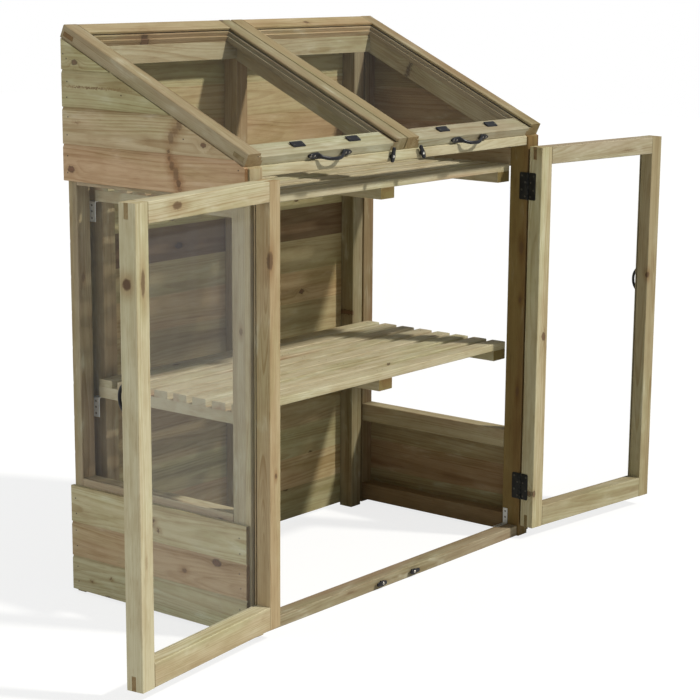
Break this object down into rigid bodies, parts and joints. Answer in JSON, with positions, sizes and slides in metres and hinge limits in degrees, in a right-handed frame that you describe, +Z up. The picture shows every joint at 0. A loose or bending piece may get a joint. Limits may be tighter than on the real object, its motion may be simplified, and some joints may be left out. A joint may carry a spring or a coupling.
{
  "type": "wooden mini greenhouse",
  "caption": "Lean-to wooden mini greenhouse with glazed front doors, glazed roof lids hinged at the back, clear side panes, boarded ends and back, and slatted shelves.",
  "frame": {"origin": "on the ground, under the middle of the bounding box, with the doors open and the lids closed as in the picture", "axes": "+X to the right along the front, +Y from the front to the back, +Z up"},
  "size_m": [2.1976, 0.741, 1.4587],
  "materials": {
    "frame_timber": "pressure treated softwood, planed, unvarnished",
    "door_timber": "pale pressure treated softwood, planed, unvarnished",
    "lid_timber": "pressure treated softwood, planed, unvarnished",
    "board_timber": "pressure treated softwood boards, planed, pink brown to pale green",
    "clear_sheet": "clear glazing sheet",
    "black_hinge": "black painted steel",
    "black_handle": "black moulded plastic, satin to gloss",
    "black_button": "black moulded plastic"
  },
  "bodies": {
    "frame": {"front_post_left": "frame_timber", "front_post_right": "frame_timber", "back_stile_left": "frame_timber", "back_stile_right": "frame_timber", "side_rafter_left": "frame_timber", "side_rafter_right": "frame_timber", "side_header_left": "frame_timber", "side_header_right": "frame_timber", "side_sill_left": "frame_timber", "side_sill_right": "frame_timber", "side_base_rail_left": "frame_timber", "side_base_rail_right": "frame_timber", "lower_side_boards_left": "board_timber", "lower_side_boards_right": "board_timber", "upper_side_boards_left": "board_timber", "upper_side_boards_right": "board_timber", "side_pane_left": "clear_sheet", "side_pane_right": "clear_sheet", "back_batten_left": "frame_timber", "back_batten_centre": "frame_timber", "back_batten_right": "frame_timber", "back_top_rail": "frame_timber", "back_boards": "board_timber", "front_top_rail": "door_timber", "front_bottom_rail": "frame_timber", "centre_rafter": "frame_timber", "middle_shelf": "frame_timber", "top_shelf": "frame_timber", "lower_door_hinge_left": "black_hinge", "upper_door_hinge_left": "black_hinge", "lower_door_hinge_right": "black_hinge", "upper_door_hinge_right": "black_hinge"},
    "door_left": {"door_hinge_stile_left": "door_timber", "door_free_stile_left": "door_timber", "door_top_rail_left": "door_timber", "door_bottom_rail_left": "door_timber", "door_pane_left": "clear_sheet", "door_handle_left": "black_handle"},
    "door_right": {"door_hinge_stile_right": "door_timber", "door_free_stile_right": "door_timber", "door_top_rail_right": "door_timber", "door_bottom_rail_right": "door_timber", "door_pane_right": "clear_sheet", "door_handle_right": "black_handle"},
    "lid_left": {"lid_outer_stile_left": "lid_timber", "lid_inner_stile_left": "lid_timber", "lid_top_rail_left": "lid_timber", "lid_bottom_rail_left": "lid_timber", "lid_pane_left": "clear_sheet", "lid_handle_left": "black_handle"},
    "lid_right": {"lid_outer_stile_right": "lid_timber", "lid_inner_stile_right": "lid_timber", "lid_top_rail_right": "lid_timber", "lid_bottom_rail_right": "lid_timber", "lid_pane_right": "clear_sheet", "lid_handle_right": "black_handle"},
    "top_button_left": {"top_turn_button_left": "black_button"},
    "top_button_right": {"top_turn_button_right": "black_button"},
    "bottom_button_left": {"bottom_turn_button_left": "black_button"},
    "bottom_button_right": {"bottom_turn_button_right": "black_button"}
  },
  "joints": [
    {"name": "door_left_swing", "type": "hinge", "parent": "frame", "child": "door_left", "pos_m": [-0.55348, -0.25552, 0], "axis": [0, 0, 1], "range_deg": [-12, 172.9]},
    {"name": "door_right_swing", "type": "hinge", "parent": "frame", "child": "door_right", "pos_m": [0.55252, -0.25552, 0], "axis": [0, 0, -1], "range_deg": [-11, 173.7]},
    {"name": "lid_left_lift", "type": "hinge", "parent": "frame", "child": "lid_left", "pos_m": [-0.30548, 0.36769, 1.4261], "axis": [-1, 0, 0], "range_deg": [0, 120]},
    {"name": "lid_right_lift", "type": "hinge", "parent": "frame", "child": "lid_right", "pos_m": [0.30452, 0.36769, 1.4261], "axis": [-1, 0, 0], "range_deg": [0, 120]},
    {"name": "top_button_left_turn", "type": "hinge", "parent": "frame", "child": "top_button_left", "pos_m": [-0.06148, -0.25292, 1.1385], "axis": [0, 1, 0], "range_deg": [-180, 180]},
    {"name": "top_button_right_turn", "type": "hinge", "parent": "frame", "child": "top_button_right", "pos_m": [0.06452, -0.25292, 1.1385], "axis": [0, 1, 0], "range_deg": [-180, 180]},
    {"name": "bottom_button_left_turn", "type": "hinge", "parent": "frame", "child": "bottom_button_left", "pos_m": [-0.08348, -0.25292, 0.016], "axis": [0, 1, 0], "range_deg": [0, 180]},
    {"name": "bottom_button_right_turn", "type": "hinge", "parent": "frame", "child": "bottom_button_right", "pos_m": [0.05252, -0.25292, 0.016], "axis": [0, -1, 0], "range_deg": [0, 180]}
  ]
}
